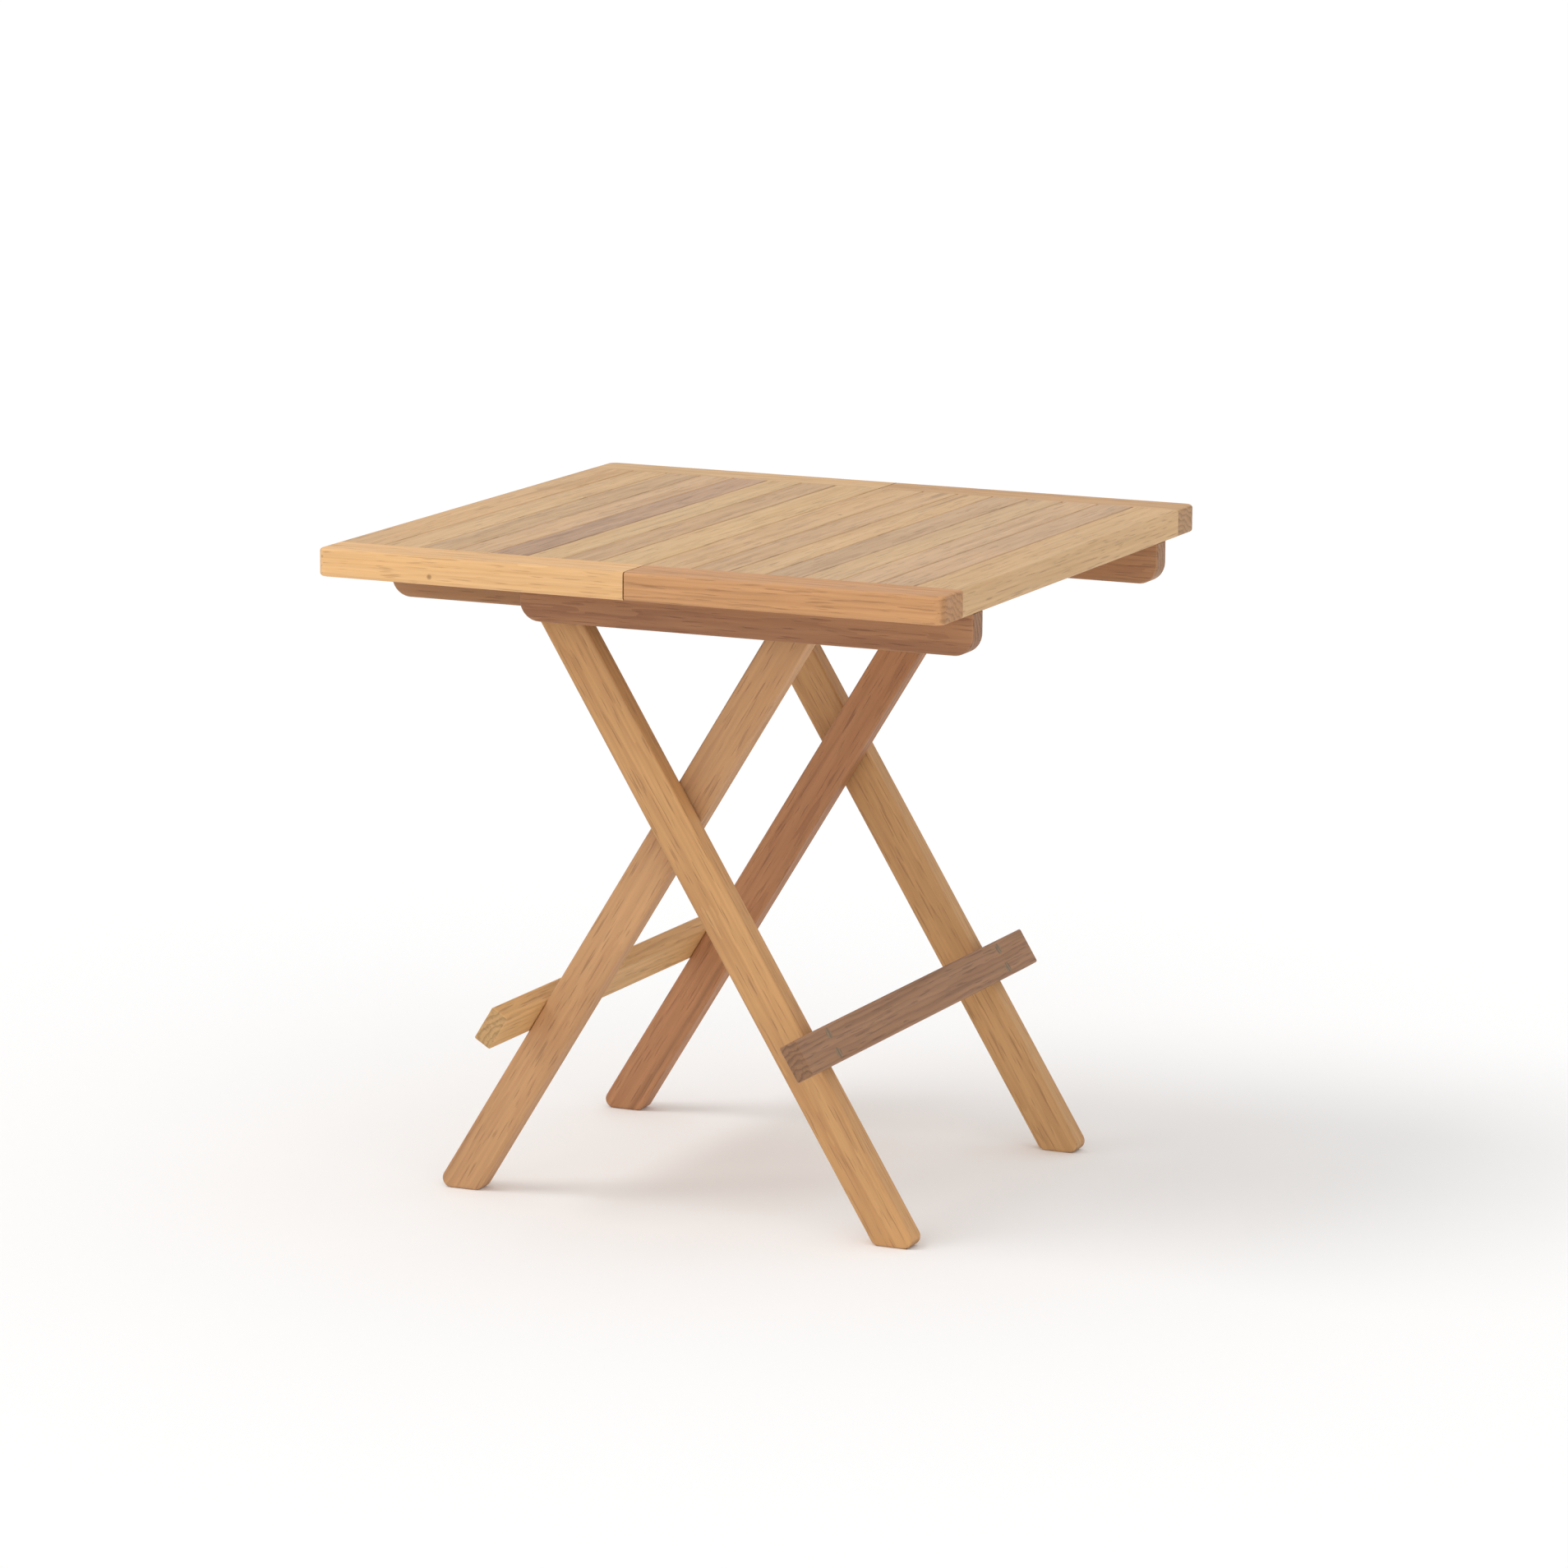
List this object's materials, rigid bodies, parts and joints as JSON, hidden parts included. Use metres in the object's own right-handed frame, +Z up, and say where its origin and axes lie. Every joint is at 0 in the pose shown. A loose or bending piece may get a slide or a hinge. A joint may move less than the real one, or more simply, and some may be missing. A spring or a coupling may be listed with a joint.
{
  "type": "folding picnic table",
  "caption": "Small square slatted teak table whose top is in two halves on crossed legs; the legs close and the halves swing up.",
  "frame": {"origin": "on the floor below the middle of the top", "axes": "+Z up, X across the row of slats from the left half to the right half, Y along the slats"},
  "size_m": [0.5, 0.5, 0.5],
  "materials": {
    "teak": "sanded, unvarnished",
    "steel": "satin",
    "brass": "satin"
  },
  "bodies": {
    "outer_legs": {"outer_back_leg": "teak", "outer_front_leg": "teak", "outer_pivot_washers": "brass", "outer_stretcher": "teak", "outer_stretcher_plugs": "teak", "outer_stretcher_screws": "steel", "scissor_pins": "steel", "scissor_washers": "brass"},
    "inner_legs": {"inner_front_leg": "teak", "inner_back_leg": "teak", "inner_stretcher": "teak", "inner_stretcher_screws": "steel", "inner_stretcher_plugs": "teak", "inner_pivot_washers": "brass"},
    "right_half": {"right_back_board": "teak", "right_back_rail": "teak", "right_front_board": "teak", "right_front_rail": "teak", "right_inner_stile": "teak", "right_outer_stile": "teak", "right_pivot_pins": "steel", "right_rail_screws": "steel", "right_slat_1": "teak", "right_slat_2": "teak", "right_slat_3": "teak", "right_slat_4": "teak", "right_slat_5": "teak", "right_slat_6": "teak"},
    "left_half": {"left_back_board": "teak", "left_back_rail": "teak", "left_front_board": "teak", "left_front_rail": "teak", "left_inner_stile": "teak", "left_outer_stile": "teak", "left_pivot_pins": "steel", "left_rail_screws": "steel", "left_slat_1": "teak", "left_slat_2": "teak", "left_slat_3": "teak", "left_slat_4": "teak", "left_slat_5": "teak", "left_slat_6": "teak"}
  },
  "joints": [
    {"name": "fold", "type": "hinge", "parent": "outer_legs", "child": "inner_legs", "pos_m": [0, 0, 0.302], "axis": [0, -1, 0], "range_deg": [0, 60]},
    {"name": "right_swing", "type": "hinge", "parent": "outer_legs", "child": "right_half", "pos_m": [-0.0985, 0, 0.4625], "axis": [0, -1, 0], "range_deg": [0, 90]},
    {"name": "left_swing", "type": "hinge", "parent": "inner_legs", "child": "left_half", "pos_m": [0.0985, 0, 0.4625], "axis": [0, 1, 0], "range_deg": [0, 90]}
  ],
  "couplings": [
    {"joint": "right_swing", "follows": "fold", "ratio": 1.5},
    {"joint": "left_swing", "follows": "fold", "ratio": 1.5}
  ]
}
